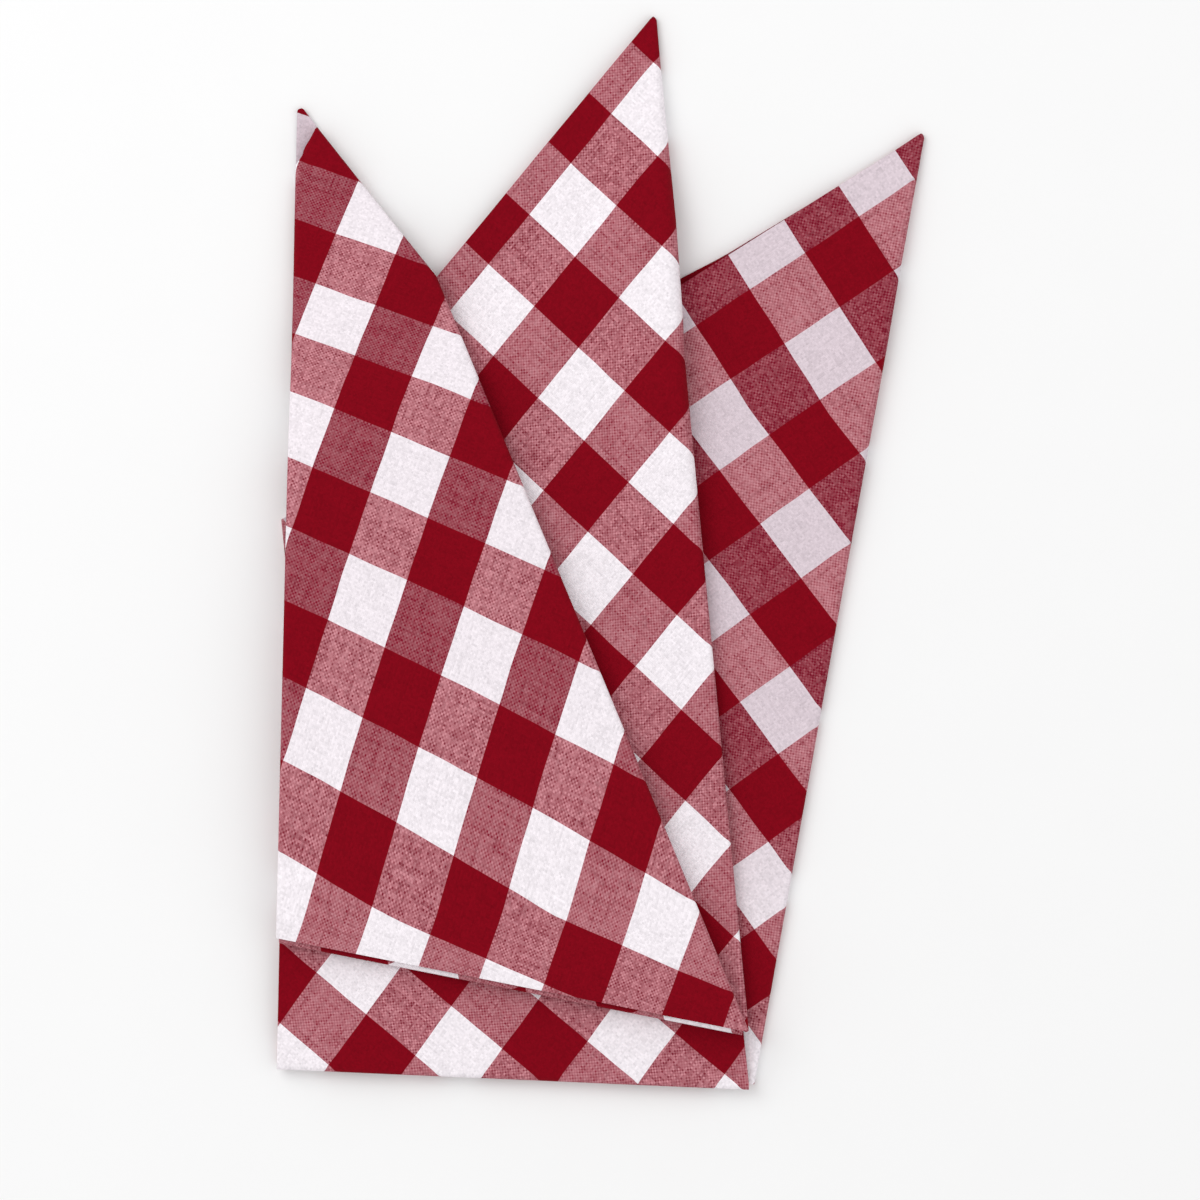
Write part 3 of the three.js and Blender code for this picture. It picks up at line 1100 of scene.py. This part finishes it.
def gingham_cotton(look):
    """Yarn-dyed gingham cotton in plain weave: matt, with a slight fuzz that lights its edges.

    Uneven yarns leave fine streaks along both directions.
    """
    material = new_material("Gingham cotton")
    tree = material.node_tree
    a, b = cloth_measure(tree)

    # Real yarns here are about 0.25 mm apart. They are drawn a little coarser, so that they show.
    yarn_a = add_node(tree, MATH, (a, look.thread), operation="DIVIDE")[0]
    yarn_b = add_node(tree, MATH, (b, look.thread), operation="DIVIDE")[0]
    index_a = add_node(tree, MATH, (yarn_a,), operation="FLOOR")[0]
    index_b = add_node(tree, MATH, (yarn_b,), operation="FLOOR")[0]
    red_a, red_b = red_band(tree, index_a, look), red_band(tree, index_b, look)
    uneven_a = unevenness(tree, index_a, b, UNEVEN_STARTS[0])
    uneven_b = unevenness(tree, index_b, a, UNEVEN_STARTS[1])
    grain = add_node(tree, MATH, (uneven_a, uneven_b), operation="ADD")[0]
    weave = plain_weave(tree, yarn_a, yarn_b)
    chance = chance_at(tree, index_a, index_b)

    top = yarn_on_top(tree, weave, uneven_a, uneven_b, chance)
    painted_light_a, painted_light_b = painted_light_sides(tree)
    white_share = white_showing(tree, top, red_a, red_b, painted_light_a, painted_light_b)
    colour = check_colour(tree, look, white_share, red_a, red_b, painted_light_a, painted_light_b)
    shader = add_node(
        tree,
        "ShaderNodeBsdfPrincipled",
        {
            "Base Color": shaded(tree, colour, grain, chance, uneven_a, uneven_b),
            "Roughness": 0.9,
            "Specular IOR Level": 0.04,
            "Sheen Weight": 0.015,
            "Sheen Roughness": 0.5,
            "Normal": yarn_relief(tree, weave, grain),
        },
    )
    add_node(tree, "ShaderNodeOutputMaterial", {"Surface": shader[0]})
    return material


def painted_floor(studio):
    """Smooth matt studio paint, near white, with a faint rolled-on mottle."""
    material = new_material("Painted floor")
    tree = material.node_tree
    place = add_node(tree, "ShaderNodeTexCoord", ())["Object"]
    mottle = add_node(tree, NOISE, {"Vector": place, "Scale": MOTTLE["scale"], "Detail": 3.0})
    faint = (*(channel * MOTTLE["faint"] for channel in studio.floor), 1.0)
    inputs = {0: mottle["Fac"], 6: (*studio.floor, 1.0), 7: faint}
    colour = add_node(tree, MIX, inputs, data_type="RGBA")[2]
    paint = {"Base Color": colour, "Roughness": 0.9}
    shader = add_node(tree, "ShaderNodeBsdfPrincipled", paint)
    add_node(tree, "ShaderNodeOutputMaterial", {"Surface": shader[0]})
    return material


# ---- Operators ------------------------------------------------------------------------------


class HANDKERCHIEF_OT_fold(Operator):
    """Make the gingham square, folded back and forth into three points."""

    bl_idname = "handkerchief.fold"
    bl_label = "Fold Handkerchief"

    def execute(self, context):
        sizes = context.scene.handkerchief_sizes
        look = context.scene.handkerchief_look
        piece = cloth_object("folded_square", fold_cloth(Lie(sizes)), sizes, look)
        piece.data.materials.append(gingham_cotton(look))
        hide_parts("handkerchief")
        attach(piece, "root")
        tuple(sizes.square)
        return {"FINISHED"}


class HANDKERCHIEF_OT_studio(Operator):
    """Lay a pale floor, hang soft lights and set the camera straight above the cloth."""

    bl_idname = "handkerchief.studio"
    bl_label = "Set Up Studio"

    def execute(self, context):
        studio = context.scene.handkerchief_studio
        self.lay_floor(studio)
        self.light_air(context.scene)
        for lamp in LAMPS:
            self.hang_lamp(context.scene, lamp)
        self.set_camera(context.scene, studio)
        return {"FINISHED"}

    def lay_floor(self, studio):
        bpy.ops.object.select_all(action="DESELECT")
        bpy.ops.mesh.primitive_plane_add(size=FLOOR_SIZE, location=(0.0, 0.0, 0.0))
        floor = bpy.context.active_object
        floor.name = "floor"
        floor.data.materials.append(painted_floor(studio))
        floor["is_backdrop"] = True

    def light_air(self, scene):
        world = bpy.data.worlds.new("Studio air")
        scene.world = world
        world.use_nodes = True
        background = world.node_tree.nodes["Background"]
        background.inputs["Color"].default_value = (1.0, 1.0, 1.0, 1.0)
        background.inputs["Strength"].default_value = AIR_STRENGTH

    def hang_lamp(self, scene, lamp):
        light = bpy.data.lights.new(lamp["name"], "AREA")
        light.size = lamp["size"]
        light.energy = lamp["power"]
        place = Vector((lamp["x"], lamp["y"], lamp["z"]))
        obj = bpy.data.objects.new(lamp["name"], light)
        obj.location = place
        obj.rotation_euler = (-place).to_track_quat("-Z", "Y").to_euler()
        scene.collection.objects.link(obj)

    def set_camera(self, scene, studio):
        data = bpy.data.cameras.new("Camera")
        data.lens = studio.lens
        data.sensor_width = 36.0
        data.sensor_fit = "HORIZONTAL"
        camera = bpy.data.objects.new("Camera", data)
        middle = Vector(place_in_frame(Vector((*VIEW_MIDDLE, 0.0))))
        distance = studio.cloth_height + studio.view_width * studio.lens / data.sensor_width
        camera.location = (middle.x, middle.y, distance)
        scene.collection.objects.link(camera)
        scene.camera = camera
        scene.view_settings.view_transform = "Standard"


class HANDKERCHIEF_PT_panel(Panel):
    """Sizes, colours and steps for the folded handkerchief."""

    bl_idname = "HANDKERCHIEF_PT_panel"
    bl_label = "Folded Handkerchief"
    bl_space_type = "VIEW_3D"
    bl_region_type = "UI"
    bl_category = "Handkerchief"

    def draw(self, context):
        layout = self.layout
        for name in SETTINGS:
            group = getattr(context.scene, name)
            box = layout.box()
            for key in group.__annotations__:
                box.prop(group, key)
        for operator in OPERATORS:
            layout.operator(operator.bl_idname)


OPERATORS = (HANDKERCHIEF_OT_fold, HANDKERCHIEF_OT_studio)
SETTINGS = {
    "handkerchief_sizes": FoldedClothSizes,
    "handkerchief_look": GinghamLook,
    "handkerchief_studio": StudioSettings,
}
CLASSES = (*SETTINGS.values(), *OPERATORS, HANDKERCHIEF_PT_panel)


def register():
    for cls in CLASSES:
        bpy.utils.register_class(cls)
    for name, group in SETTINGS.items():
        setattr(bpy.types.Scene, name, PointerProperty(type=group))


def unregister():
    for name in SETTINGS:
        delattr(bpy.types.Scene, name)
    for cls in reversed(CLASSES):
        bpy.utils.unregister_class(cls)


def main():
    register()
    bpy.ops.handkerchief.fold()
    bpy.ops.handkerchief.studio()


if __name__ == "__main__":
    main()
